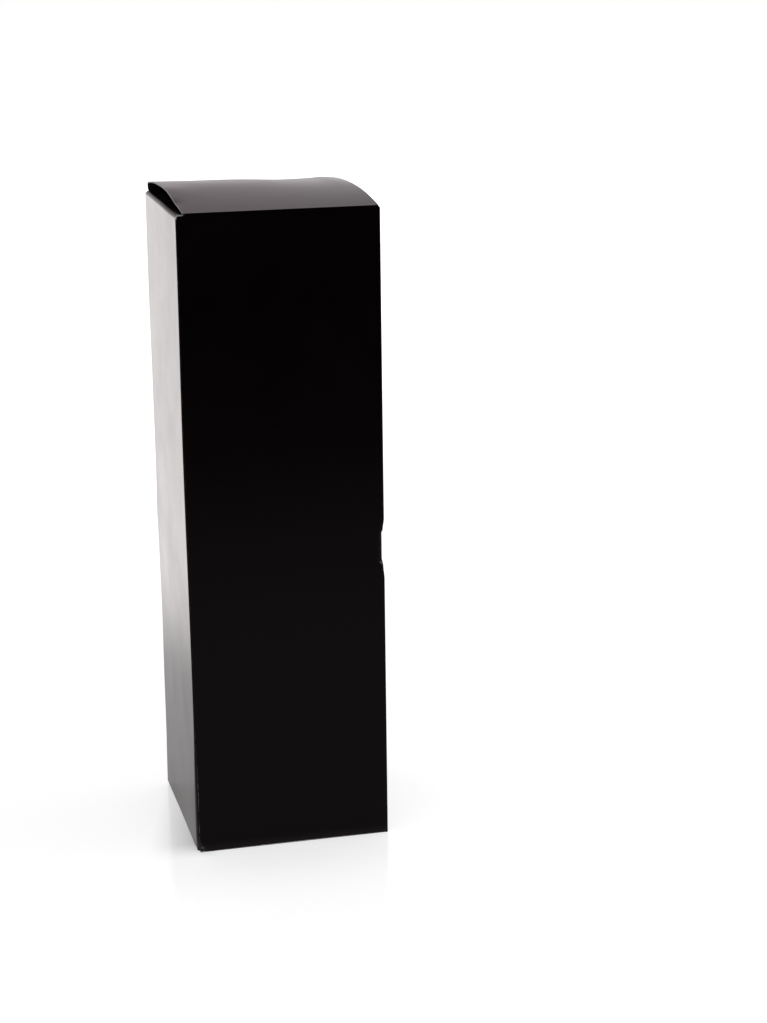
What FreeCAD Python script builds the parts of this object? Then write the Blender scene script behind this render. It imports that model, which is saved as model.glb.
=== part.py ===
import FreeCAD, Part

import math
import os

import Sketcher

# A tall square folding carton of thin board, closed, for one bottle-shaped thing.
# The frame stands at the middle of its base: +X to the right of the front panel,
# +Y from the front panel to the rear one, +Z up. All sizes are in millimetres.
SIZES = {
    "carton_width": 77,
    "carton_depth": 76,
    "carton_height": 250,
    "board": 0.5,
    "corner_fold": 0.9,
    "seam_setback": 0.3,
    "glue_flap_width": 14,
    "glue_flap_root": 1,
    "glue_flap_slant": 6,
    "glue_flap_relief": 3,
    "corner_post": 2.2,
    "flap_length": 30,
    "flap_sink": 1,
    "flap_sag": 1.6,
    "flap_shoulder": 9,
    "flap_slit_step": 1.2,
    "flap_taper": 6,
    "flap_corner": 3,
    "crease_gap": 0.25,
    "running_gap": 0.35,
    "lid_inset_left": 2.6,
    "lid_inset_right": 0.8,
    "lid_crown_left": 5,
    "lid_crown_right": 2.9,
    "lid_back_left": 2.5,
    "lid_back_right": 2,
    "base_inset": 1.3,
    "tuck_length": 18,
    "tuck_inset": 1.8,
    "tuck_corner": 7,
    "tuck_fold": 1.2,
    "slit_length": 9,
    "slit_width": 0.4,
    "nick_left": 2.1,
    "nick_right": 1,
    "dent_level": 117,
    "dent_reach": 12,
    "dent_flat": 6,
    "dent_patch": 8,
    "dent_front_round": 5.5,
    "dent_rear_round": 3.2,
}


class Size:
    """A length that carries its number and the sheet formula that gives it."""

    def __init__(self, number, formula):
        self.number = float(number)
        self.formula = formula

    def __add__(self, other):
        other = as_size(other)
        return Size(self.number + other.number, f"({self.formula} + {other.formula})")

    def __sub__(self, other):
        other = as_size(other)
        return Size(self.number - other.number, f"({self.formula} - {other.formula})")

    def __mul__(self, other):
        other = as_size(other)
        return Size(self.number * other.number, f"({self.formula} * {other.formula})")

    def __truediv__(self, other):
        other = as_size(other)
        return Size(self.number / other.number, f"({self.formula} / {other.formula})")

    def __neg__(self):
        return Size(-self.number, f"(0 - {self.formula})")

    def root(self):
        """The square root of the length squared that this holds."""
        return Size(math.sqrt(self.number), f"sqrt({self.formula})")


def as_size(value):
    """Lets a plain number stand beside the named lengths."""
    return value if isinstance(value, Size) else Size(value, repr(value))


doc = FreeCAD.newDocument("bottle_carton")
sheet = doc.addObject("Spreadsheet::Sheet", "Sizes")
for row, (alias, number) in enumerate(SIZES.items(), start=1):
    sheet.set(f"A{row}", alias)
    sheet.set(f"B{row}", str(number))
    sheet.setAlias(f"B{row}", alias)
doc.recompute()


def size(alias):
    """The named length of the sheet."""
    return Size(sheet.get(alias), f"Sizes.{alias}")


board = size("board")
fold = size("corner_fold")
half_width = size("carton_width") / 2
half_depth = size("carton_depth") / 2
height = size("carton_height")
wall_top = height - board / 2
hinge_y = board / 2 - half_depth

PLANES = {"XY": "XY_Plane", "XZ": "XZ_Plane", "YZ": "YZ_Plane"}


def make_body(label):
    """An empty body, one for each folded piece of board."""
    body = doc.addObject("PartDesign::Body", label)
    body.Label = label
    return body


def place(sketch, point, geometry, end):
    """Ties one point of a sketch to its two coordinates."""
    for kind, along in (("DistanceX", point[0]), ("DistanceY", point[1])):
        index = sketch.addConstraint(
            Sketcher.Constraint(kind, -1, 1, geometry, end, along.number)
        )
        sketch.setExpression(f"Constraints[{index}]", along.formula)


def arc_through(start, end, radius, turn):
    """The short arc of a radius between two points. Turn is 1 anticlockwise, -1
    clockwise."""
    chord = end - start
    across = FreeCAD.Vector(-chord.y, chord.x, 0).normalize() * turn
    rise = math.sqrt(radius * radius - chord.Length * chord.Length / 4)
    middle = start + chord / 2 - across * (radius - rise)
    return Part.Arc(start, middle, end)


def add_outline(sketch, corners):
    """Closes an outline through its corners. A corner is a point, or a point with
    the radius and turn of the arc that leads on from it."""
    first = sketch.GeometryCount
    points = [[as_size(along) for along in corner[:2]] for corner in corners]
    vectors = [FreeCAD.Vector(x.number, y.number, 0) for x, y in points]
    ends = []
    for index, corner in enumerate(corners):
        start = vectors[index]
        end = vectors[(index + 1) % len(corners)]
        if len(corner) == 2:
            sketch.addGeometry(Part.LineSegment(start, end))
            ends.append((1, 2))
            continue
        radius, turn = corner[2:]
        sketch.addGeometry(arc_through(start, end, radius.number, turn))
        # An arc is kept turning anticlockwise, so a clockwise one has its ends swapped.
        ends.append((1, 2) if turn > 0 else (2, 1))
    for index, point in enumerate(points):
        after = (index + 1) % len(corners)
        sketch.addConstraint(
            Sketcher.Constraint(
                "Coincident", first + index, ends[index][1], first + after, ends[after][0]
            )
        )
        place(sketch, point, first + index, ends[index][0])
    for index, corner in enumerate(corners):
        if len(corner) > 2:
            radius = corner[2]
            bend = sketch.addConstraint(
                Sketcher.Constraint("Radius", first + index, radius.number)
            )
            sketch.setExpression(f"Constraints[{bend}]", radius.formula)


def make_sketch(body, name, plane, offset, outlines):
    """A sketch on one of the body's own planes, moved along its normal."""
    sketch = body.newObject("Sketcher::SketchObject", name)
    support = next(f for f in body.Origin.OriginFeatures if f.Role == PLANES[plane])
    sketch.AttachmentSupport = (support, [""])
    sketch.MapMode = "FlatFace"
    offset = as_size(offset)
    sketch.AttachmentOffset = FreeCAD.Placement(
        FreeCAD.Vector(0, 0, offset.number), FreeCAD.Rotation()
    )
    sketch.setExpression("AttachmentOffset.Base.z", offset.formula)
    for corners in outlines:
        add_outline(sketch, corners)
    return sketch


def extrude(body, kind, name, sketch, length, reverse=False):
    """Pads a sketch, or pockets it, to a length."""
    feature = body.newObject(f"PartDesign::{kind}", name)
    feature.Profile = sketch
    length = as_size(length)
    feature.Length = length.number
    feature.setExpression("Length", length.formula)
    feature.Reversed = reverse
    sketch.Visibility = False
    doc.recompute()
    return feature


def loft(body, name, sketches):
    """Joins sketches of like outline with straight sides."""
    feature = body.newObject("PartDesign::AdditiveLoft", name)
    feature.Profile = sketches[0]
    feature.Sections = sketches[1:]
    feature.Ruled = True
    doc.recompute()
    return feature


def round_edges(body, name, radius, wanted):
    """Fillets the edges of the body's last feature that a test picks."""
    base = body.Tip
    names = [
        f"Edge{index}"
        for index, edge in enumerate(base.Shape.Edges, start=1)
        if wanted(edge)
    ]
    feature = body.newObject("PartDesign::Fillet", name)
    feature.Base = (base, names)
    radius = as_size(radius)
    feature.Radius = radius.number
    feature.setExpression("Radius", radius.formula)
    doc.recompute()
    return feature


# The folded sheet: four panels, the seam, and a pair of dust flaps at each end.
carton = make_body("carton_body")

inner_fold = fold - board
seam_x = half_width - board
outer_wall = [
    (half_width, half_depth - size("seam_setback")),
    (half_width, fold - half_depth, fold, -1),
    (half_width - fold, -half_depth),
    (fold - half_width, -half_depth, fold, -1),
    (-half_width, fold - half_depth),
    (-half_width, half_depth - fold, fold, -1),
    (fold - half_width, half_depth),
    (seam_x - fold, half_depth, fold, -1),
    (seam_x, half_depth - fold),
    (seam_x, half_depth - size("seam_setback")),
]
root_y = half_depth - fold - size("glue_flap_root")
inner_wall = [
    (seam_x, root_y),
    (seam_x, fold - half_depth, inner_fold, -1),
    (half_width - fold, board - half_depth),
    (fold - half_width, board - half_depth, inner_fold, -1),
    (board - half_width, fold - half_depth),
    (board - half_width, half_depth - fold, inner_fold, -1),
    (fold - half_width, half_depth - board),
    (seam_x - fold, half_depth - board, inner_fold, -1),
    (seam_x - board, half_depth - fold),
    (seam_x - board, root_y),
]
wall_sketch = make_sketch(carton, "wall_section", "XY", 0, [outer_wall, inner_wall])
extrude(carton, "Pad", "walls", wall_sketch, wall_top)

# The glue flap is folded from the rear panel and lies inside the right one.
flap_edge_y = root_y - (size("glue_flap_width") - size("glue_flap_root"))
relief = size("glue_flap_relief")
slant = relief + size("glue_flap_slant")
glue_outline = [
    (root_y, relief),
    (root_y, height - relief),
    (flap_edge_y, height - slant),
    (flap_edge_y, slant),
]
glue_sketch = make_sketch(carton, "glue_flap_face", "YZ", seam_x - board, [glue_outline])
extrude(carton, "Pad", "glue_flap", glue_sketch, board)

# The side panels end lower than the front one, where their dust flaps fold over.
sink = size("flap_sink")
post = size("corner_post")
clear = size("running_gap")
side_cuts = [
    [
        (post - half_depth, height - sink - fold),
        (half_depth - post, height - sink - fold),
        (half_depth - post, height + sink),
        (post - half_depth, height + sink),
    ],
    [
        (post - half_depth, -sink),
        (half_depth - post, -sink),
        (half_depth - post, sink + fold),
        (post - half_depth, sink + fold),
    ],
]
side_sketch = make_sketch(carton, "side_ends", "YZ", half_width + sink, side_cuts)
extrude(carton, "Pocket", "side_end_cuts", side_sketch, (half_width + sink) * 2)

TOP = "top"
BASE = "base"


def at_end(end, depth):
    """The height that lies a depth inside one end of the carton."""
    return height - depth if end == TOP else as_size(depth)


flap_length = size("flap_length")
flap_front = post - half_depth
flap_rear = half_depth - board * 2 - clear * 2 - size("crease_gap")
flap_width = half_depth - post - flap_front


def add_dust_flap(end, name, side):
    """A flap that folds over from a side panel and sags a little to its tip."""
    outside = half_width * side
    inward = -side
    under = sink + board
    tip = outside + flap_length * inward
    turn = side if end == TOP else -side
    section = [
        (outside, at_end(end, sink + fold), fold, turn),
        (outside + fold * inward, at_end(end, sink)),
        (tip, at_end(end, sink + size("flap_sag"))),
        (tip, at_end(end, under + size("flap_sag"))),
        (outside + fold * inward, at_end(end, under), inner_fold, -turn),
        (outside + board * inward, at_end(end, sink + fold)),
    ]
    sketch = make_sketch(carton, f"{name}_section", "XZ", -flap_front, [section])
    extrude(carton, "Pad", name, sketch, flap_width, reverse=True)
    shoulder = fold + size("flap_shoulder")
    beyond = flap_length + sink
    front_waste = [
        (outside + shoulder / 2 * inward, flap_front),
        (outside + flap_length * inward, flap_front + size("flap_taper")),
        (outside + beyond * inward, flap_front + size("flap_taper")),
        (outside + beyond * inward, flap_front - sink / 2),
        (outside + shoulder / 2 * inward, flap_front - sink / 2),
    ]
    step_y = flap_rear - size("flap_slit_step")
    rear_waste = [
        (outside + board * 2 * inward, flap_rear),
        (outside + shoulder * inward, flap_rear),
        (outside + shoulder * inward, step_y),
        (outside + flap_length * inward, step_y - size("flap_taper")),
        (outside + beyond * inward, step_y - size("flap_taper")),
        (outside + beyond * inward, half_depth - board * 2),
        (outside + board * 2 * inward, half_depth - board * 2),
    ]
    trim = make_sketch(
        carton, f"{name}_trim", "XY", at_end(end, -sink), [front_waste, rear_waste]
    )
    depth = sink * 2 + fold + board + size("flap_sag")
    extrude(carton, "Pocket", f"{name}_outline", trim, depth, reverse=end == BASE)


for end in (TOP, BASE):
    add_dust_flap(end, f"{end}_left_flap", -1)
    add_dust_flap(end, f"{end}_right_flap", 1)


def is_flap_tip(edge):
    """True for the four short upright edges at the free end of each pair of flaps."""
    middle = edge.BoundBox.Center
    tip_x = (half_width - flap_length).number
    short = edge.Length < board.number * 1.5
    upright = edge.BoundBox.ZLength > board.number / 2
    return short and upright and abs(abs(middle.x) - tip_x) < board.number / 2


round_edges(carton, "flap_tip_rounds", size("flap_corner"), is_flap_tip)


# Small cuts at the ends of the front panel, where the lids are creased.
def corner_nick(side, end, reach, drop):
    """A slanted cut across one corner of the front panel."""
    corner_x = half_width * side
    past = corner_x + post * side
    return [
        (corner_x - (reach + fold) * side, at_end(end, board / 2 - fold)),
        (past, at_end(end, board / 2 + drop + post)),
        (past, at_end(end, -post - fold)),
        (corner_x - (reach + fold) * side, at_end(end, -post - fold)),
    ]


nicks = [
    corner_nick(-1, TOP, size("lid_inset_left"), size("nick_left")),
    corner_nick(1, TOP, size("lid_inset_right"), size("nick_right")),
]
nick_sketch = make_sketch(carton, "front_nicks", "XZ", half_depth + sink, nicks)
extrude(carton, "Pocket", "front_nick_cuts", nick_sketch, sink + post)


# A packing band has crushed two opposite corners at the same level.
def add_band_dent(name, side_x, side_y, crushed):
    """A stretch of corner fold that is pressed from its own round to a wider one."""
    level = size("dent_level")
    patch = size("dent_patch")

    def spot(in_x, in_y):
        return (
            (half_width - in_x) * side_x,
            (half_depth - in_y) * side_y,
        )

    flush = as_size(0)
    past = -sink
    hole = [spot(past, past), spot(patch, past), spot(patch, patch), spot(past, patch)]
    reach = size("dent_reach")
    hole_sketch = make_sketch(carton, f"{name}_gap", "XY", level + reach, [hole])
    extrude(carton, "Pocket", f"{name}_cut", hole_sketch, reach * 2)
    sections = []
    stations = (
        ("low", -reach, fold),
        ("lower", -size("dent_flat"), crushed),
        ("upper", size("dent_flat"), crushed),
        ("high", reach, fold),
    )
    turn = -side_x * side_y
    for tag, rise, bend in stations:
        outline = [
            spot(patch, flush),
            (*spot(bend, flush), bend, turn),
            spot(flush, bend),
            spot(flush, patch),
            spot(board, patch),
            (*spot(board, bend), bend - board, -turn),
            spot(bend, board),
            spot(patch, board),
        ]
        sections.append(make_sketch(carton, f"{name}_{tag}", "XY", level + rise, [outline]))
    loft(carton, f"{name}_wall", sections)


add_band_dent("front_dent", 1, -1, size("dent_front_round"))
add_band_dent("rear_dent", -1, 1, size("dent_rear_round"))


# Each lid is creased along the front panel, crosses the end and tucks down inside
# the rear panel. The tuck is bent round the crease, so that it slides in its slot.
def add_lid(label, end, left, right):
    """A lid from its two side profiles, each with an inset, a crown and a rise at
    the tuck fold."""
    lid = make_body(label)
    tuck_outer = size("carton_depth") - board * 1.5 - clear
    tuck_inner = tuck_outer - board
    tip = right[2] - size("tuck_length")
    face = board / 2
    bend = size("tuck_fold")
    turn = 1 if end == TOP else -1

    def level(rise):
        return at_end(end, face - rise)

    def tuck_y(radius, rise):
        return hinge_y + (radius * radius - rise * rise).root()

    def profile(crown, back):
        start_y = hinge_y + face + size("crease_gap")
        top = back + face
        slope = (crown * 4 - back * 3) / size("carton_depth")
        fold_y = tuck_y(tuck_outer, top) - bend
        fold_rise = back + bend * slope
        fold_bend = bend * (slope + 1)
        over_arch = ()
        under_arch = ()
        if crown.number:
            run = fold_y - start_y
            bulge = crown - fold_rise / 2
            chord_square = run * run + fold_rise * fold_rise
            arch = (chord_square / 4 + bulge * bulge) / (bulge * 2)
            over_arch = (arch + face, -turn)
            under_arch = (arch - face, turn)
        return [
            (start_y, level(face), *over_arch),
            (fold_y, level(fold_rise + face), fold_bend, -turn),
            (tuck_y(tuck_outer, top - bend), level(top - bend), tuck_outer, -turn),
            (tuck_y(tuck_outer, tip), level(tip)),
            (tuck_y(tuck_inner, tip), level(tip), tuck_inner, turn),
            (tuck_y(tuck_inner, top - bend), level(top - bend), fold_bend - board, turn),
            (fold_y, level(fold_rise - face), *under_arch),
            (start_y, level(-face)),
        ]

    left_x = left[0] - half_width
    right_x = half_width - right[0]
    loft(
        lid,
        f"{label}_board",
        [
            make_sketch(lid, f"{label}_left", "YZ", left_x, [profile(left[1], left[2])]),
            make_sketch(lid, f"{label}_right", "YZ", right_x, [profile(right[1], right[2])]),
        ],
    )

    slit_top = right[2] - bend
    slit_low = slit_top - size("slit_width")
    corner = size("tuck_corner")
    waste = []
    for side, edge_x in ((-1, left_x), (1, right_x)):
        tuck_x = edge_x - size("tuck_inset") * side
        past_x = edge_x + sink * side
        round_x = tuck_x - corner * side
        waste.append(
            [
                (past_x, level(slit_top)),
                (tuck_x - size("slit_length") * side, level(slit_top)),
                (tuck_x - size("slit_length") * side, level(slit_low)),
                (tuck_x, level(slit_low)),
                (tuck_x, level(tip + corner), corner, -side * turn),
                (round_x, level(tip)),
                (round_x, level(tip - sink)),
                (past_x, level(tip - sink)),
            ]
        )
    trim = make_sketch(lid, f"{label}_trim", "XZ", -(half_depth + sink), waste)
    extrude(lid, "Pocket", f"{label}_outline", trim, size("tuck_length"), reverse=True)
    return lid


top_lid = add_lid(
    "top_lid",
    TOP,
    (size("lid_inset_left"), size("lid_crown_left"), size("lid_back_left")),
    (size("lid_inset_right"), size("lid_crown_right"), size("lid_back_right")),
)
flat = as_size(0)
base_inset = size("base_inset")
bottom_lid = add_lid(
    "bottom_lid", BASE, (base_inset, flat, flat), (base_inset, flat, flat)
)

doc.recompute()
for thing in doc.Objects:
    if "Invalid" in thing.State or "Error" in thing.State:
        raise RuntimeError(f"{thing.Name} failed: {thing.State}")

os.makedirs("parts", exist_ok=True)
for body in (carton, top_lid, bottom_lid):
    shape = body.Shape
    if shape.isNull() or not shape.isValid() or len(shape.Solids) != 1:
        raise RuntimeError(f"{body.Label} is not one sound solid")
    shape.exportStep(os.path.join("parts", f"{body.Label}.step"))
    box = shape.BoundBox
    print(
        f"{body.Label}: {shape.Volume:.0f} mm3, X {box.XMin:.2f} to {box.XMax:.2f}, "
        f"Y {box.YMin:.2f} to {box.YMax:.2f}, Z {box.ZMin:.2f} to {box.ZMax:.2f}"
    )
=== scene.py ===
import math

import bpy
import numpy as np
from mathutils import Matrix, Vector


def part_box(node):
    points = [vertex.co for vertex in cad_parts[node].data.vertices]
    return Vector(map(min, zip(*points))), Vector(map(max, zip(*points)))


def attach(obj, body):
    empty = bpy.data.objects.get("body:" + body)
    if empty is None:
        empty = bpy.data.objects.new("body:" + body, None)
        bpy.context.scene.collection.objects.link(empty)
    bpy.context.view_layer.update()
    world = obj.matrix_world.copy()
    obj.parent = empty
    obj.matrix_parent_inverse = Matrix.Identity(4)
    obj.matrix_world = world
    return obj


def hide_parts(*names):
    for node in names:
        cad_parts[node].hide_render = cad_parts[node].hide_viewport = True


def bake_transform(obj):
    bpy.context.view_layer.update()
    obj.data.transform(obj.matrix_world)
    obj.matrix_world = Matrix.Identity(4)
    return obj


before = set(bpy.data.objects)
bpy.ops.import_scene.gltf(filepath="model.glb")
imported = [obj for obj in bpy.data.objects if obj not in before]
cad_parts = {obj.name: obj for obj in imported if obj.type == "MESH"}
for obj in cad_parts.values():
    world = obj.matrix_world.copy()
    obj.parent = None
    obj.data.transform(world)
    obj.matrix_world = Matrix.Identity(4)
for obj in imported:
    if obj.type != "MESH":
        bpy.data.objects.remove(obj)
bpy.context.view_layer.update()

# The carton body: one sheet of black board with a satin film on its outer side. It is
# creased into four panels, glued at the rear right corner by a flap inside the right
# panel, and each side panel folds over into a dust flap at either end.
body_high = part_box("carton_body")[1]
half_width = body_high.x
half_depth = body_high.y
board = 0.0005
hinge_y = board / 2 - half_depth
hinge_z = body_high.z
carton_height = hinge_z + board / 2
fold_round = 0.0009
seam_setback = 0.0003
glue_flap_width = 0.0149
glue_flap_relief = 0.003
glue_flap_slant = 0.006
seam_tail = 0.0015
corner_post = 0.0022
fold_zone = 0.008
step_width = 0.00004
film_tint = (1, 0.84, 0.875, 1)
film_dark = (0.0019, 0.0008, 0.0011, 1)
film_light = (0.0027, 0.0012, 0.0016, 1)
rubbed_grey = (0.24, 0.225, 0.22, 1)
inside_dark = (0.008, 0.0075, 0.008, 1)
inside_light = (0.016, 0.015, 0.0155, 1)
edge_dark = (0.45, 0.43, 0.42, 1)
edge_light = (0.68, 0.65, 0.64, 1)


def smooth_step(value, start, stop):
    """Rises from 0 to 1 between start and stop along 3 s^2 - 2 s^3."""
    share = np.clip((value - start) / (stop - start), 0, 1)
    return share * share * (3 - 2 * share)


def bell(value, middle, spread):
    """exp(-((value - middle) / spread)^2), a smooth bump of height 1."""
    return np.exp(-(((value - middle) / spread) ** 2))


def board_sheet(face, normal, thickness, joined, wear, cells=None):
    """Gives a grid of points its second face, one thickness in along the normals, and
    the cut edges wherever a grid cell has no neighbour. Faces look outwards where the
    second grid direction crossed with the first one does. joined names the borders
    (first row, last row, first column, last column) that go on in another patch."""
    rows, columns = face.shape[:2]
    index = np.arange(rows * columns).reshape(rows, columns)
    if cells is None:
        cells = np.ones((rows - 1, columns - 1), dtype=bool)
    around = np.zeros((rows + 1, columns + 1), dtype=bool)
    around[1:-1, 1:-1] = cells
    around[0, 1:-1] = cells[0] & joined[0]
    around[-1, 1:-1] = cells[-1] & joined[1]
    around[1:-1, 0] = cells[:, 0] & joined[2]
    around[1:-1, -1] = cells[:, -1] & joined[3]

    def quads(a, b, c, d, keep):
        return np.stack([a[keep], b[keep], c[keep], d[keep]], axis=1)

    top = index
    base = index + rows * columns
    outer = quads(top[:-1, :-1], top[:-1, 1:], top[1:, 1:], top[1:, :-1], cells)
    inner = quads(base[:-1, :-1], base[1:, :-1], base[1:, 1:], base[:-1, 1:], cells)
    before = around[:-1, 1:-1]
    after = around[1:, 1:-1]
    left = around[1:-1, :-1]
    right = around[1:-1, 1:]
    rims = [
        quads(top[:, 1:], top[:, :-1], base[:, :-1], base[:, 1:], after & ~before),
        quads(top[:, :-1], top[:, 1:], base[:, 1:], base[:, :-1], before & ~after),
        quads(top[:-1], top[1:], base[1:], base[:-1], right & ~left),
        quads(top[1:], top[:-1], base[:-1], base[1:], left & ~right),
    ]
    rims = np.concatenate(rims)
    points = np.concatenate([face.reshape(-1, 3), (face - normal * thickness).reshape(-1, 3)])
    faces = np.concatenate([outer, inner, rims])
    slots = np.repeat([0, 1, 2], [len(outer), len(inner), len(rims)])
    return points, faces, slots, np.tile(wear.ravel(), 2)


def make_piece(name, patches, materials):
    """Welds patches of board into one mesh, point to point where they meet."""
    points = np.concatenate([patch[0] for patch in patches])
    counts = np.cumsum([0] + [len(patch[0]) for patch in patches])
    faces = np.concatenate([patch[1] + start for patch, start in zip(patches, counts)])
    slots = np.concatenate([patch[2] for patch in patches])
    worn = np.concatenate([patch[3] for patch in patches])
    cell = 1e-7
    near = np.round(points / cell).astype(np.int64)
    kept, back = np.unique(near, axis=0, return_index=True, return_inverse=True)[1:]
    faces = back.ravel()[faces]
    mesh = bpy.data.meshes.new(name)
    mesh.from_pydata(points[kept].tolist(), [], faces.tolist())
    rubbed = mesh.attributes.new("wear", "FLOAT", "POINT")
    rubbed.data.foreach_set("value", worn[kept].astype(np.float32))
    mesh.polygons.foreach_set("material_index", slots.astype(np.int32))
    mesh.polygons.foreach_set("use_smooth", np.ones(len(faces), dtype=bool))
    mesh.validate()
    for material in materials:
        mesh.materials.append(material)
    mesh.set_sharp_from_angle(angle=math.radians(40))
    piece = bpy.data.objects.new(name, mesh)
    bpy.context.scene.collection.objects.link(piece)
    return piece


def node_tools(tree):
    """Short ways to build a node tree: add a node with its values, join two sockets, do
    maths on sockets and numbers, map a value linearly from one range to another with
    both ends held, and mix two values or colours by a factor."""
    join = tree.links.new

    def add(kind, **values):
        node = tree.nodes.new(kind)
        for key, value in values.items():
            if key in node.inputs:
                node.inputs[key].default_value = value
            else:
                setattr(node, key, value)
        return node

    def fill(socket, term):
        if isinstance(term, (int, float, tuple)):
            socket.default_value = term
        else:
            join(term, socket)

    def maths(operation, *terms):
        node = add("ShaderNodeMath", operation=operation)
        for socket, term in zip(node.inputs, terms):
            fill(socket, term)
        return node.outputs[0]

    def ramp(source, start, stop, low=0.0, high=1.0):
        ends = {"From Min": start, "From Max": stop, "To Min": low, "To Max": high}
        node = add("ShaderNodeMapRange", **ends)
        join(source, node.inputs["Value"])
        return node.outputs["Result"]

    def mix(kind, factor, first, second):
        sockets = {"FLOAT": (2, 3, 0), "RGBA": (6, 7, 2)}[kind]
        node = add("ShaderNodeMix", data_type=kind)
        join(factor, node.inputs["Factor"])
        fill(node.inputs[sockets[0]], first)
        fill(node.inputs[sockets[1]], second)
        return node.outputs[sockets[2]]

    return add, join, maths, ramp, mix


def shader(name):
    """A new node material, its shader and its node tools."""
    material = bpy.data.materials.new(name)
    material.use_nodes = True
    tree = material.node_tree
    return material, tree.nodes["Principled BSDF"], node_tools(tree)


def noise(add, join, scale, detail, roughness):
    """A noise texture on the piece's own Object coordinates."""
    place = add("ShaderNodeTexCoord")
    texture = add("ShaderNodeTexNoise", Scale=scale, Detail=detail, Roughness=roughness)
    join(place.outputs["Object"], texture.inputs["Vector"])
    return texture.outputs["Fac"]


def tint_ramp(add, join, source, start, dark, stop, light):
    """A colour that runs evenly from dark at start to light at stop."""
    tint = add("ShaderNodeValToRGB")
    for element, position, colour in zip(tint.color_ramp.elements, (start, stop), (dark, light)):
        element.position = position
        element.color = colour
    join(source, tint.inputs["Fac"])
    return tint.outputs["Color"]


def relief(add, join, height, strength, distance, surface):
    """Bumps the shader's normal by a height."""
    bump = add("ShaderNodeBump", Strength=strength, Distance=distance)
    join(height, bump.inputs["Height"])
    join(bump.outputs["Normal"], surface.inputs["Normal"])


def film_finish():
    """Satin black film over board: a faint orange peel and board grain under it,
    and grey board where wear times scuff noise shows that the folds have rubbed through."""
    material, surface, (add, join, maths, ramp, mix) = shader("black_film")
    surface.inputs["IOR"].default_value = 1.5
    surface.inputs["Specular Tint"].default_value = film_tint
    cloud = noise(add, join, 38.0, 4.0, 0.55)
    grain = noise(add, join, 2600.0, 2.0, 0.6)
    peel = noise(add, join, 420.0, 2.0, 0.5)
    scuff = noise(add, join, 340.0, 5.0, 0.7)
    tint = tint_ramp(add, join, cloud, 0.3, film_dark, 0.72, film_light)
    wear = add("ShaderNodeAttribute", attribute_name="wear")
    bare = ramp(maths("MULTIPLY", wear.outputs["Fac"], scuff), 0.22, 0.5)
    join(mix("RGBA", bare, tint, rubbed_grey), surface.inputs["Base Color"])
    satin = ramp(cloud, 0.3, 0.7, 0.17, 0.225)
    join(mix("FLOAT", bare, satin, 0.6), surface.inputs["Roughness"])
    relief(add, join, maths("MULTIPLY_ADD", grain, 0.35, peel), 0.10, 0.00004, surface)
    return material


def raw_finish(name, dark, light, scale, roughness):
    """Bare board: short fibres in it, with no film to shine."""
    material, surface, (add, join, *_) = shader(name)
    surface.inputs["IOR"].default_value = 1.45
    surface.inputs["Roughness"].default_value = roughness
    fibre = noise(add, join, scale, 5.0, 0.7)
    join(tint_ramp(add, join, fibre, 0.35, dark, 0.7, light), surface.inputs["Base Color"])
    relief(add, join, fibre, 0.25, 0.00005, surface)
    return material


black_film = film_finish()
board_inside = raw_finish("board_inside", inside_dark, inside_light, 1500.0, 0.72)
board_edge = raw_finish("board_edge", edge_dark, edge_light, 2600.0, 0.85)
board_materials = (black_film, board_inside, board_edge)

# Going round the carton: how each panel runs, where its corner folds stand, and how
# far the packing band crushed them. The glue flap runs on inside the right panel.
panel_turns = ((0, -1), (-1, 0), (0, 1), (1, 0), (0, -1))
seam_x = half_width - board
fold_corners = (
    (half_width, -half_depth),
    (-half_width, -half_depth),
    (-half_width, half_depth),
    (seam_x, half_depth),
)
dent_level = 0.117
dent_rounds = (0.0050, fold_round, 0.0012, fold_round)
dent_legs = (0.42, 1.0, 1.0, 1.0)
dent_flatness = 0.8
band_foot = ((0.45, 0.1055, 0.1105), (0.55, 0.1108, 0.1126))
band_head = ((0.5, -0.1300, -0.1252), (0.5, -0.1250, -0.1234))
foot_opening = 0.0013
foot_opening_ends = (0.022, 0.052)
worn_lines = (1.25, 0.5, 0.8, 0.8)
worn_line_spread = 0.14
arc_steps = 13

# The grid's rows up the wall stand close at its ends and where the band pressed.
level_runs = (
    (0, 0.006, 9),
    (0.006, 0.1, 36),
    (0.1, 0.134, 45),
    (0.134, 0.244, 40),
    (0.244, hinge_z, 9),
)
levels = np.unique(np.concatenate([np.linspace(*run) for run in level_runs]))


def band_press(height):
    """How hard the band pressed at each height: the lesser of two sums, one of two
    smooth steps up from below and one of two from above."""
    lower = sum(part * smooth_step(height, start, stop) for part, start, stop in band_foot)
    upper = sum(part * smooth_step(-height, start, stop) for part, start, stop in band_head)
    return np.minimum(lower, upper)


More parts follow.
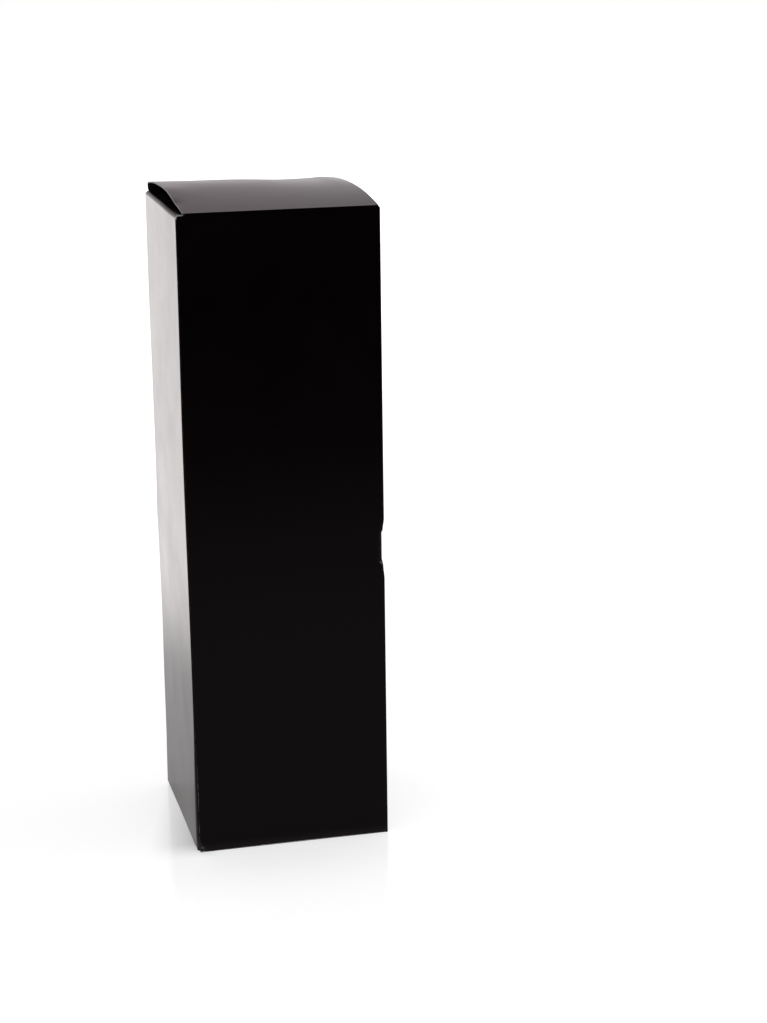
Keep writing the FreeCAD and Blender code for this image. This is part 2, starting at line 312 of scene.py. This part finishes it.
def fold_patch(corner, height):
    """A corner fold: straight up to its round, a quarter circle that the band draws out
    to an ellipse and flattens towards its chord, and straight on. The first grid
    direction goes round the corner, the second one up it."""
    incoming = np.array(panel_turns[corner], dtype=float)
    outgoing = np.array(panel_turns[corner + 1], dtype=float)
    pressed = band_press(height) if corner in (0, 2) else np.zeros_like(height)
    band_round = fold_round + (dent_rounds[corner] - fold_round) * pressed
    foot_round = foot_opening * (1 - smooth_step(height, *foot_opening_ends)) * (corner == 1)
    radius = (band_round + foot_round)[None, :, None]
    far_leg = fold_round + (band_round + foot_round - fold_round) * dent_legs[corner]
    far_leg = far_leg[None, :, None]
    band_round = band_round[None, :, None]
    tip = np.array(fold_corners[corner])[None, None, :]
    # Far stations stand at set distances from the tip, two of them at the corner post.
    stations = np.array([fold_zone, 0.0065, 0.005, 0.0036, corner_post, corner_post - step_width])
    shares = ((stations - fold_round) / (fold_zone - fold_round))[:, None, None]
    leading = band_round + (fold_zone - band_round) * shares
    leading = np.concatenate([leading, (leading[-1:] + radius) / 2, radius])
    tail = fold_zone - (fold_zone - leading[::-1]) * (fold_zone - far_leg) / (fold_zone - radius)
    if corner == 3:
        tail = radius + (seam_tail - radius) * np.linspace(0, 1, 8)[:, None, None]
    before = tip - incoming * leading
    after = tip + outgoing * tail
    angle = np.linspace(0, math.pi / 2, arc_steps)[1:-1, None, None]
    centre = tip - incoming * radius + outgoing * far_leg
    arc = centre - outgoing * far_leg * np.cos(angle) + incoming * radius * np.sin(angle)
    share = angle / (math.pi / 2)
    chord = before[-1:] + (after[:1] - before[-1:]) * share
    arc = arc + (chord - arc) * (dent_flatness * pressed[None, :, None])
    across = np.broadcast_to(-outgoing, before.shape)
    facing = -outgoing * np.cos(angle) + incoming * np.sin(angle) + np.zeros(arc.shape)
    along = np.broadcast_to(incoming, after.shape)
    worn = bell(angle.ravel(), worn_lines[corner], worn_line_spread)
    crest = np.concatenate([np.zeros(8), worn, np.zeros(8)])
    return (
        np.concatenate([before, arc, after]),
        np.concatenate([across, facing, along]),
        np.broadcast_to(crest[:, None], (len(crest), len(height))),
    )


def wall_strip(height):
    """The whole wall as one strip, from the right panel's raw edge round to the glue
    flap's free edge: flat runs between the corner folds, each fold with its round."""
    spots = []
    facings = []
    crests = []
    tags = []
    start = np.array((half_width, half_depth - seam_setback))
    for panel in range(5):
        direction = np.array(panel_turns[panel], dtype=float)
        if panel < 4:
            end = np.array(fold_corners[panel]) - direction * fold_zone
        else:
            end = np.array((seam_x, half_depth - glue_flap_width))
        share = np.linspace(0, 1, 25)
        if panel == 0:
            # The right panel steps down beside its raw edge, where its flaps begin.
            post = (corner_post - seam_setback) / np.linalg.norm(end - start)
            nudge = step_width / np.linalg.norm(end - start)
            share = np.concatenate([[0, post, post + nudge], np.linspace(0.08, 1, 24)])
        run = start[None, :] + (end - start)[None, :] * share[:, None]
        outward = np.array((-direction[1], direction[0]))
        run = np.broadcast_to(run[:, None, :], (len(share), len(height), 2))
        spots.append(run if panel == 0 else run[1:])
        facings.append(np.broadcast_to(outward, spots[-1].shape))
        crests.append(np.zeros(spots[-1].shape[:2]))
        tags.append(np.full(len(spots[-1]), panel))
        if panel < 4:
            spot, facing, crest = fold_patch(panel, height)
            spots.append(spot[1:])
            facings.append(facing[1:])
            crests.append(crest[1:])
            tags.append(np.full(len(spot) - 1, 10 + panel))
            start = spot[-1, 0]
    return (
        np.concatenate(spots),
        np.concatenate(facings),
        np.concatenate(crests),
        np.concatenate(tags),
    )


base_inset = 0.0013
lid_left = 0.0031 - half_width
lid_right = half_width - 0.0008
flap_rise = 0.0003
left_flap_rise = 0.00045
flap_rounds = {-1: 0.0006, 1: 0.0014}
flap_sinks = {-1: 0.0008, 1: 0.0010}
top_of_flap_fold = carton_height - flap_sinks[1] - flap_rounds[1]
rear_relief = 0.0010
nicks = {-1: (0.0031, 0.0024), 1: (0.00085, 0.0009)}
base_nick = (0.0040, 0.0012)


def wall_ends(x, y, panel):
    """How low and how high the wall reaches at each place round it: to the lid's
    crease at the front, to the raw edge at the rear, and to the lower crease of the
    dust flaps on the sides, with slanted nicks at the corners."""
    creased = (y < step_width - half_depth) & (np.abs(x) < half_width - base_inset)
    low = np.where(creased, board / 2, 0.0)
    high = np.full(len(x), hinge_z)
    high = np.where(y > half_depth - corner_post - step_width, hinge_z - rear_relief, high)
    for side, (reach, drop) in nicks.items():
        into = half_width - side * x
        cut = np.clip(1 - into / reach, 0, None) * drop
        near = (y < -half_depth + corner_post + step_width) & (side * x > 0)
        high = np.where(near, high - cut, high)
    between_posts = np.abs(y) < half_depth - corner_post + step_width / 2
    flapped = (np.abs(x) > half_width - step_width / 2) & between_posts
    raised = flap_rise + left_flap_rise * smooth_step(y, -0.030, 0.005) * (x < 0)
    high = np.where(flapped, top_of_flap_fold + raised, high)
    low = np.where(flapped, flap_sinks[-1] + flap_rounds[-1], low)
    cut = np.clip(1 - (half_width + x) / base_nick[0], 0, 1) * base_nick[1]
    low = np.where((y > half_depth - corner_post - step_width) & (x < 0), low + cut, low)
    glued = panel == 4
    share = np.clip((half_depth - y - fold_round) / (glue_flap_width - fold_round), 0, 1)
    trim = glue_flap_relief + glue_flap_slant * share
    high = np.where(glued, carton_height - trim, high)
    low = np.where(glued, trim, low)
    return low, high, flapped


bow_depths = (0.00010, 0.00022, 0.00030, 0.00024)
settle_start = 0.010
rear_left_lean = 0.00031
rear_left_bends = ((-1, 0.1195, 0.0095), (-0.6, 0.205, 0.03), (0.8, 0.077, 0.018))
front_left_lean = 0.00038
front_left_bulge = (0.158, 0.055)
scuff_in = 0.0006
scuff_up = 0.0003


def panel_bow(panel, share, height):
    """How far a panel stands in from flat: its depth times sin(pi s)^1.2 and a slow
    cosine of height, plus ripples in sin(pi s), so that both die out at its folds."""
    tall = height / carton_height
    slow = 0.55 + 0.45 * np.cos(2 * math.pi * (tall - 0.1 * panel))
    hollow = np.sin(math.pi * share) ** 1.2 * slow
    ripple = 0.22 * np.sin(math.pi * share) * np.sin(5.3 * tall + 1.9 * panel + 1.4 * share)
    return bow_depths[panel] * np.clip(hollow + ripple, 0, None)


def settle(points):
    """Small departures of a carton that has been packed flat and handled. The rear left
    fold leans in by 1 plus a few bells of height, the largest a bulge over the band's
    mark. The front left one leans in by 1 less a bell. Its foot is scuffed round by the
    product of a bell in each direction."""
    x, y, z = points[..., 0], points[..., 1], points[..., 2]
    leftward = smooth_step(-x, settle_start, half_width)
    rear_left = leftward * smooth_step(y, settle_start, half_depth)
    bends = 1 + sum(part * bell(z, middle, spread) for part, middle, spread in rear_left_bends)
    inward = rear_left_lean * rear_left * bends * smooth_step(z, 0, 0.03)
    front_left = leftward * smooth_step(-y, settle_start, half_depth)
    drift = front_left_lean * front_left * (1 - bell(z, *front_left_bulge)) * smooth_step(z, 0.012, 0.06)
    foot = bell(x, -half_width, 0.0024) * bell(y, -half_depth, 0.0032) * bell(z, 0, 0.0034)
    moved = points.copy()
    moved[..., 0] = x + inward * 0.8 + drift + foot * scuff_in
    moved[..., 1] = y - inward * 0.5 + foot * scuff_in
    moved[..., 2] = z + foot * scuff_up
    return moved


spots, facings, crests, panels = wall_strip(levels)
foot_x = spots[:, 0, 0]
foot_y = spots[:, 0, 1]
low_end, high_end, flapped = wall_ends(foot_x, foot_y, panels)
rise = levels / hinge_z
wall = np.zeros((*spots.shape[:2], 3))
wall_normal = np.zeros_like(wall)
wall[..., :2] = spots
wall[..., 2] = low_end[:, None] + (high_end - low_end)[:, None] * rise[None, :]
wall_normal[..., :2] = facings
for panel in range(4):
    direction = np.array(panel_turns[panel])
    along = wall[..., :2] @ direction
    reach = half_depth if panel % 2 == 0 else half_width
    share = np.clip((along + reach) / (2 * reach), 0, 1)
    outward = np.array((-direction[1], direction[0]))
    on_panel = np.clip(wall_normal[..., :2] @ outward, 0, 1) ** 2 * (panels != 4)[:, None]
    bow = panel_bow(panel, share, wall[..., 2]) * on_panel
    wall[..., :2] -= outward * bow[..., None]
wall = settle(wall)

fold_wear = {
    10: 0.40 + 0.12 * bell(levels, dent_level, 0.012),
    11: 0.52 + 0.15 * (1 - smooth_step(levels, 0.035, 0.055)),
    12: 0.50 + 0.30 * bell(levels, dent_level, 0.010),
    13: np.full_like(levels, 0.45),
}
wall_wear = np.zeros(wall.shape[:2])
for tag, worn in fold_wear.items():
    wall_wear = np.where((panels == tag)[:, None], crests * worn[None, :], wall_wear)

foot_scuff = bell(wall[..., 0], 0.0022 - half_width, 0.0014) * bell(wall[..., 1], -half_depth, 0.001)
foot_scuff = 0.9 * foot_scuff * bell(wall[..., 2], 0.0018, 0.0015)
wall_wear = np.maximum(wall_wear, foot_scuff)

# The wall goes on in a dust flap at both ends of every cell that lies on a side panel,
# and over the creases in the lids at the front.
front = foot_y < step_width - half_depth
over_base = flapped | (front & (np.abs(foot_x) < half_width - base_inset))
over_top = flapped | (front & (foot_x > lid_left) & (foot_x < lid_right))
joined = (False, False, over_base[:-1] & over_base[1:], over_top[:-1] & over_top[1:])
wall_patch = board_sheet(wall, wall_normal, board, joined, wall_wear)

flap_length = 0.030
flap_sag = 0.0016
flap_shoulder = 0.0099
flap_slit_step = 0.0012
flap_taper = 0.006
flap_tip_round = 0.003
flap_curl = 0.0006
flap_fold_wear = 0.3
flap_front = corner_post - half_depth
running_gap = 0.00035
flap_rear = half_depth - 2 * board - 2 * running_gap - 0.00025


def flap_edges(reach):
    """The front and rear edge of a dust flap at each distance from its panel: a
    straight root, a step for the tuck's slit, a taper, and rounded tips."""
    tapering = np.clip((reach - flap_shoulder / 2) / (flap_length - flap_shoulder / 2), 0, 1)
    front = flap_front + flap_taper * tapering
    tapering = np.clip((reach - flap_shoulder) / (flap_length - flap_shoulder), 0, 1)
    stepped = flap_rear - flap_slit_step - flap_taper * tapering
    rear = np.where(reach > flap_shoulder, stepped, half_depth - corner_post)
    into = np.clip(flap_tip_round - (flap_length - reach), 0, flap_tip_round)
    round_off = flap_tip_round - np.sqrt(flap_tip_round**2 - into**2)
    return front + round_off, rear - round_off


def dust_flap(side, end):
    """A flap that starts on the panel's own end points, turns a quarter circle inwards
    and runs on to its tip, a little further into the carton as it goes."""
    column = 0 if end < 0 else -1
    chosen = flapped & (foot_x * side > 0)
    root = wall[chosen, column]
    shares = (root[:, 1] - root[:, 1].min()) / np.ptp(root[:, 1])
    quarter = np.linspace(0, math.pi / 2, 9)
    bend = flap_rounds[end]
    run = np.concatenate(
        [
            np.linspace(bend, flap_shoulder, 9)[1:],
            [flap_shoulder + step_width],
            np.linspace(flap_shoulder, flap_length - flap_tip_round, 12)[1:],
            flap_length - flap_tip_round * (1 - np.sin(np.linspace(0, math.pi / 2, 8)))[1:],
        ]
    )
    reach = np.concatenate([bend * (1 - np.cos(quarter)), run])
    sag = flap_sag * (run - bend) / (flap_length - bend)
    lift = np.concatenate([bend * np.sin(quarter), bend - sag])
    lean_in = np.concatenate([np.sin(quarter), np.ones(len(run))])
    front, rear = flap_edges(reach)
    face = np.zeros((len(reach), len(root), 3))
    face[..., 0] = root[None, :, 0] - side * reach[:, None]
    even = flap_front + (half_depth - corner_post - flap_front) * shares
    settled = (root[:, 1] - even)[None, :] * (1 - lean_in)[:, None]
    face[..., 1] = front[:, None] + (rear - front)[:, None] * shares[None, :] + settled
    curl = smooth_step(reach, 0.002, flap_length)[:, None] * np.sin(math.pi * shares)[None, :]
    face[..., 2] = root[None, :, 2] + end * (lift[:, None] - flap_curl * curl)
    normal = np.zeros_like(face)
    normal[..., 0] = side * np.sqrt(1 - lean_in**2)[:, None]
    normal[..., 2] = end * lean_in[:, None]
    wear = np.zeros(face.shape[:2])
    wear[3:6] = flap_fold_wear
    outwards = np.sign(np.cross(face[0, 1] - face[0, 0], face[1, 0] - face[0, 0]) @ normal[0, 0])
    if outwards < 0:
        face, normal, wear = face[:, ::-1], normal[:, ::-1], wear[:, ::-1]
    return board_sheet(face, normal, board, (True, False, False, False), wear)


carton = make_piece(
    "carton_board",
    [wall_patch] + [dust_flap(side, end) for side in (-1, 1) for end in (-1, 1)],
    board_materials,
)
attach(carton, "carton")
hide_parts("carton_body")

# The top lid: part of the same sheet, creased along the front panel. It has sprung up
# into an arch that stands higher on the left, and its tuck slides in inside the rear
# panel. Slits at the ends of the tuck's fold catch the shoulders of the dust flaps.
tuck_outer = 2 * half_depth - 1.5 * board - running_gap
tuck_fold = 0.0012
tuck_inset = 0.0018
tuck_inset_run = 0.003
tuck_corner = 0.007
slit_length = 0.009
slit_width = 0.00006
slit_depth_share = 0.02
mean_fold_rise = 0.002
swell_start = 0.35
lid_start = hinge_y + board / 2 + 0.00025
lid_taper = 0.0018


def grid_normals(face):
    """The unit cross product of a grid's two directions."""
    normal = np.cross(np.gradient(face, axis=1), np.gradient(face, axis=0))
    return normal / np.linalg.norm(normal, axis=2, keepdims=True)


def lid_patch(end, edges, crowns, backs, leans, swells, buckles, tip_rise, taper, fold_wear):
    """A lid as height over depth: crown * 4 d (1 - d) (1 + lean (d - 1/2)) plus the
    rise of its rear end times d, mixed from left to right, with swells that grow to the
    rear and buckles that are bumps both ways. A rounded fold follows, and a tuck bent
    round the crease line, with a slit at either end of its fold."""
    slit = slit_length / (edges[1] - edges[0])
    middle_share = np.linspace(slit, 1 - slit, 35)[1:-1]
    share = np.concatenate([np.linspace(0, slit, 8), middle_share, np.linspace(1 - slit, 1, 8)])
    share = share[None, :]
    crown = crowns[0] + (crowns[1] - crowns[0]) * share
    back = backs[0] + (backs[1] - backs[0]) * share
    lean = leans[0] + (leans[1] - leans[0]) * share
    fold_y = hinge_y + math.sqrt(tuck_outer**2 - mean_fold_rise**2) - tuck_fold
    depth = np.linspace(0, 1, 41)[:, None]
    arch_y = lid_start + (fold_y - lid_start) * depth
    arch_z = crown * 4 * depth * (1 - depth) * (1 + lean * (depth - 0.5)) + back * depth
    for middle, spread, height in swells:
        arch_z = arch_z + height * bell(share, middle, spread) * smooth_step(depth, swell_start, 1)
    for middle, spread, inwards, length, height in buckles:
        arch_z = arch_z + height * bell(share, middle, spread) * bell(depth, inwards, length)
    end_z = arch_z[-1]
    slope = (arch_z[-1] - arch_z[-2]) / (arch_y[-1] - arch_y[-2])
    low_z = end_z - tuck_fold
    low_y = hinge_y + np.sqrt(tuck_outer**2 - (low_z + board / 2) ** 2)
    turn = np.linspace(0, 1, 10)[1:, None]
    corner_z = end_z + slope * (low_y - fold_y)
    bend_y = (1 - turn) ** 2 * fold_y + (1 - (1 - turn) ** 2) * low_y
    bend_z = (1 - turn) ** 2 * end_z + 2 * turn * (1 - turn) * corner_z + turn**2 * low_z
    slit_row = len(depth) + len(turn)
    first = slit_depth_share + slit_width / (low_z - tip_rise)[None, :]
    ladder = np.linspace(0, 1, 22)[:, None]
    drop = np.concatenate([np.full_like(first, slit_depth_share), first + (1 - first) * ladder])
    tuck_z = low_z + (tip_rise - low_z) * drop
    tuck_y = hinge_y + np.sqrt(tuck_outer**2 - (tuck_z + board / 2) ** 2)
    path_y = np.concatenate([np.broadcast_to(arch_y, arch_z.shape), bend_y, tuck_y])
    path_z = np.concatenate([arch_z, bend_z, tuck_z])
    mean_z = path_z.mean(axis=1, keepdims=True)
    above = np.clip((mean_z - tip_rise) / tuck_corner, 0, 1)
    round_off = tuck_corner * (1 - np.sqrt(1 - (1 - above) ** 2))
    beyond = np.arange(len(path_z))[:, None] > slit_row
    inset = np.where(beyond, tuck_inset * smooth_step(-mean_z, 0, tuck_inset_run) + round_off, 0)
    spread_out = taper * np.clip((path_y[:, :1] - lid_start) / (fold_y - lid_start), 0, 1)
    low_x = edges[0] + inset - spread_out
    high_x = edges[1] - inset
    face = np.zeros((*path_z.shape, 3))
    face[..., 0] = low_x + (high_x - low_x) * share
    face[..., 1] = path_y
    face[..., 2] = carton_height + path_z if end > 0 else -path_z
    wear = np.zeros(path_z.shape)
    wear[slit_row - 7 : slit_row - 2] = fold_wear
    cells = np.ones((face.shape[0] - 1, face.shape[1] - 1), dtype=bool)
    cells[slit_row, :7] = False
    cells[slit_row, -7:] = False
    if end < 0:
        face, wear, cells = face[:, ::-1], wear[:, ::-1], cells[:, ::-1]
    return board_sheet(face, grid_normals(face), board, (True, False, False, False), wear, cells)


top_lid = make_piece(
    "top_lid_board",
    [
        lid_patch(
            1,
            (lid_left, lid_right),
            crowns=(0.0029, 0.0022),
            backs=(0.0031, 0.0019),
            leans=(0.6, -0.2),
            swells=((0.42, 0.18, 0.0002), (0.70, 0.12, -0.0003), (0.93, 0.05, 0.0004)),
            buckles=((0.0, 0.12, 0.45, 0.16, 0.0005), (0.0, 0.025, 0.2, 0.05, -0.0003)),
            tip_rise=-0.016,
            taper=lid_taper,
            fold_wear=0.55,
        )
    ],
    board_materials,
)
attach(top_lid, "top_flap")
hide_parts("top_lid")

# The bottom lid: the same sheet again, creased along the front panel's foot. It is
# pressed flat under the carton, and its tuck slides in inside the rear panel.
bottom_lid = make_piece(
    "bottom_lid_board",
    [
        lid_patch(
            -1,
            (base_inset - half_width, half_width - base_inset),
            crowns=(0.0, 0.0),
            backs=(0.0, 0.0),
            leans=(0.0, 0.0),
            swells=(),
            buckles=(),
            tip_rise=-0.018,
            taper=0.0,
            fold_wear=0.7,
        )
    ],
    board_materials,
)
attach(bottom_lid, "bottom_flap")
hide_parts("bottom_lid")

# The creases: the scored lines where the lids bend from the front panel. The board is
# pressed thin there, and its film is stretched round the bend.
crease_round = board / 2
crease_wear = 0.35
crease_pinch = 0.4


def crease_strip(name, end, left_x, right_x, level):
    """A quarter circle about the crease line, with a short run on to the lid. The board
    thins from both sides by a half wave."""
    turn = np.linspace(0, math.pi / 2, 9)
    offset_y = np.concatenate([-crease_round * np.cos(turn), np.linspace(0, lid_start - hinge_y, 6)[1:]])
    offset_z = np.concatenate([crease_round * np.sin(turn), np.full(5, crease_round)])
    across = np.linspace(left_x, right_x, 49)
    face = np.zeros((len(offset_y), len(across), 3))
    face[..., 0] = across[None, :]
    face[..., 1] = (hinge_y + offset_y)[:, None]
    face[..., 2] = (level + end * offset_z)[:, None]
    if end < 0:
        face = face[:, ::-1]
    pinch = 1 - crease_pinch * np.sin(math.pi * np.linspace(0, 1, len(face)))
    thickness = board * pinch[:, None, None]
    wear = np.full(face.shape[:2], crease_wear)
    patch = board_sheet(face, grid_normals(face), thickness, (True, True, False, False), wear)
    strip = make_piece(name, [patch], board_materials)
    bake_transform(strip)


crease_strip("top_crease", 1, lid_left, lid_right, hinge_z)
base_reach = half_width - base_inset
crease_strip("bottom_crease", -1, -base_reach, base_reach, board / 2)

# The floor: a smooth white sweep that the carton stands on. It keeps the carton's
# shadow and its mirror image, and it is clear from below. Its glow adds a painted
# shadow next to the left panel and painted light in what the carton reflects.
floor_reach = 3.0
floor_white = (0.8, 0.8, 0.8, 1)
plain_white = (1, 1, 1, 1)
warm_white = (1, 0.965, 0.95, 1)
floor_corners = [(-1, -1), (1, -1), (1, 1), (-1, 1)]
floor_points = [(floor_reach * x, floor_reach * y, 0) for x, y in floor_corners]
floor_mesh = bpy.data.meshes.new("floor")
floor_mesh.from_pydata(floor_points, [], [(0, 1, 2, 3)])
floor = bpy.data.objects.new("floor", floor_mesh)
bpy.context.scene.collection.objects.link(floor)

floor_material, floor_surface, (add, join, maths, ramp, mix) = shader("white_floor")
floor_surface.inputs["Base Color"].default_value = floor_white
floor_surface.inputs["Roughness"].default_value = 0.12
floor_surface.inputs["IOR"].default_value = 1.9
rays = add("ShaderNodeLightPath")
glossy_ray = rays.outputs["Is Glossy Ray"]
place = add("ShaderNodeTexCoord").outputs["Object"]
split = add("ShaderNodeSeparateXYZ")
join(place, split.inputs["Vector"])
place_x = split.outputs["X"]
place_y = split.outputs["Y"]

# What shines sees the sweep glow brightly behind the carton, from a line
# y = 2.4 x + 0.35 on, with painted shade that makes it a little darker by the carton's
# foot: all of it a painted reflection.
painted_sweep_glow = ramp(maths("MULTIPLY_ADD", place_x, -2.4, place_y), 0.351, 0.512, 0.285, 1.22)
painted_reflection_glow = maths("MULTIPLY", painted_sweep_glow, ramp(place_y, 0.0, 0.18, 0.68, 1.0))

# To the camera it glows white, a little more towards the front: a painted brightening
# that thins the carton's shadow there. Next to the left panel a painted shadow takes
# glow off: that patch ends along x = 0.247 y - 0.049 and at the front.
painted_front_light = ramp(place_y, -0.085, -0.055, 0.605, 0.56)
# Painted shadow: how much of the glow is taken off next to the left panel.
painted_shadow = ramp(maths("MULTIPLY_ADD", place_y, -0.247, place_x), -0.049, -0.030, 0.0, 0.33)
painted_shadow_area = maths("MULTIPLY", ramp(place_y, -0.043, -0.028), ramp(place_x, -0.034, -0.03, 1.0, 0.0))
far_off = add("ShaderNodeVectorMath", operation="LENGTH")
join(place, far_off.inputs[0])
lifted = maths("ADD", painted_front_light, ramp(far_off.outputs["Value"], 0.3, 1.1, 0.0, 0.42))
shown = maths("SUBTRACT", lifted, maths("MULTIPLY", painted_shadow, painted_shadow_area))
either_ray = maths("MAXIMUM", rays.outputs["Is Camera Ray"], glossy_ray)
glow = add("ShaderNodeEmission")
# What shines sees the glow warm white: a painted reflection tint.
join(mix("RGBA", glossy_ray, plain_white, warm_white), glow.inputs["Color"])
join(maths("MULTIPLY", mix("FLOAT", glossy_ray, shown, painted_reflection_glow), either_ray), glow.inputs["Strength"])
bright = add("ShaderNodeAddShader")
join(floor_surface.outputs["BSDF"], bright.inputs[0])
join(glow.outputs["Emission"], bright.inputs[1])

# What shines sees the painted glow only behind the carton, between a line that runs off
# to the left, x = -0.05 - u (y + 0.1), and the carton's right side. Elsewhere the glow
# is faint, strongest just in front of the carton: a painted reflection that lightens
# the front panel towards its foot.
leftward = maths("MULTIPLY_ADD", place_x, -1.0, -0.05)
off_left = ramp(maths("DIVIDE", leftward, maths("ADD", place_y, 0.1)), 0.5, 1.0)
off_side = maths("MAXIMUM", off_left, ramp(place_x, 0.0, 0.06))
painted_faint_area = maths("MAXIMUM", off_side, ramp(place_y, -0.046, -0.03, 1.0, 0.0))
painted_glow_front_rise = ramp(place_y, -0.78, -0.34, 0.0, 0.13)
painted_glow_rear_fade = ramp(place_y, -0.06, 0.02, 0.13, 0.03)
painted_reflection_faint = add("ShaderNodeEmission")
join(maths("MINIMUM", painted_glow_front_rise, painted_glow_rear_fade), painted_reflection_faint.inputs["Strength"])
above = add("ShaderNodeMixShader")
join(maths("MULTIPLY", painted_faint_area, glossy_ray), above.inputs[0])
join(bright.outputs[0], above.inputs[1])
join(painted_reflection_faint.outputs["Emission"], above.inputs[2])
both = add("ShaderNodeMixShader")
join(add("ShaderNodeNewGeometry").outputs["Backfacing"], both.inputs[0])
join(above.outputs[0], both.inputs[1])
join(add("ShaderNodeBsdfTransparent").outputs["BSDF"], both.inputs[2])
join(both.outputs[0], floor_material.node_tree.nodes["Material Output"].inputs["Surface"])
floor_mesh.materials.append(floor_material)

# The light: a white room all round at a plain level, dark towards the viewer's side
# for what shines, and one soft panel overhead.
wall_red = (1, 0.895, 0.925, 1)
world = bpy.data.worlds.new("studio")
bpy.context.scene.world = world
world.use_nodes = True
background = world.node_tree.nodes["Background"]
add, join, maths, ramp, mix = node_tools(world.node_tree)
rays = add("ShaderNodeLightPath")
split = add("ShaderNodeSeparateXYZ")
join(add("ShaderNodeTexCoord").outputs["Generated"], split.inputs["Vector"])
towards_x = split.outputs["X"]
towards_z = split.outputs["Z"]
room = ramp(split.outputs["Y"], 0.35, 0.85, 0.02, 1.0)
far_wall = maths("MULTIPLY", room, ramp(towards_z, 0.06, 0.2, 0.8, 0.57))

# The wall falls off to the upper left, where the folds along the side panel look.
corner_loss = maths("MULTIPLY", ramp(towards_x, 0.0, 0.13, 0.8, 0.0), ramp(towards_z, 0.02, 0.3))
mirrored_wall = maths("MULTIPLY", far_wall, maths("SUBTRACT", 1.0, corner_loss))
lit_room = mix("FLOAT", rays.outputs["Is Glossy Ray"], 0.5, mirrored_wall)
join(mix("FLOAT", rays.outputs["Is Camera Ray"], lit_room, 1.0), background.inputs["Strength"])

# What shines sees a faint red in the wall, above its foot and more to the left.
redder_left = ramp(towards_x, 0.19, 0.235, 1.0, 0.35)
redder_up = ramp(towards_z, 0.05, 0.12, 0.3, 1.0)
wall_red_share = maths("MULTIPLY", redder_left, redder_up)
mirrored_red = maths("MULTIPLY", wall_red_share, rays.outputs["Is Glossy Ray"])
join(mix("RGBA", mirrored_red, plain_white, wall_red), background.inputs["Color"])

panel_side = 1.6
panel_watts = 6.3
panel_place = Vector((0.1, -0.1, 1.6))
panel_aim = Vector((0, 0, 0.1))
panel_data = bpy.data.lights.new("overhead_panel", "AREA")
panel_data.shape = "RECTANGLE"
panel_data.size = panel_side
panel_data.size_y = panel_side
panel_data.energy = panel_watts
overhead = bpy.data.objects.new("overhead_panel", panel_data)
overhead.location = panel_place
overhead.rotation_euler = (panel_aim - panel_place).to_track_quat("-Z", "Y").to_euler()
bpy.context.scene.collection.objects.link(overhead)

# The camera stands where the photograph was taken from, left of the front panel and a
# little above the lid, and looks down at the carton's middle.
camera_place = Vector((-0.16229, -0.84856, 0.35844))
camera_look = (0.231723, 0.937025, -0.26132)
camera_up = (0.074904, 0.250647, 0.965176)
camera_data = bpy.data.cameras.new("camera")
camera_data.sensor_fit = "AUTO"
camera_data.sensor_width = 36.0
camera_data.lens = 79.37
camera = bpy.data.objects.new("camera", camera_data)
look = Vector(camera_look).normalized()
right = look.cross(Vector(camera_up)).normalized()
up = right.cross(look)
turn = Matrix((right, up, -look)).transposed().to_4x4()
camera.matrix_world = Matrix.Translation(camera_place) @ turn
bpy.context.scene.collection.objects.link(camera)
bpy.context.scene.camera = camera
bpy.context.scene.view_settings.view_transform = "Standard"
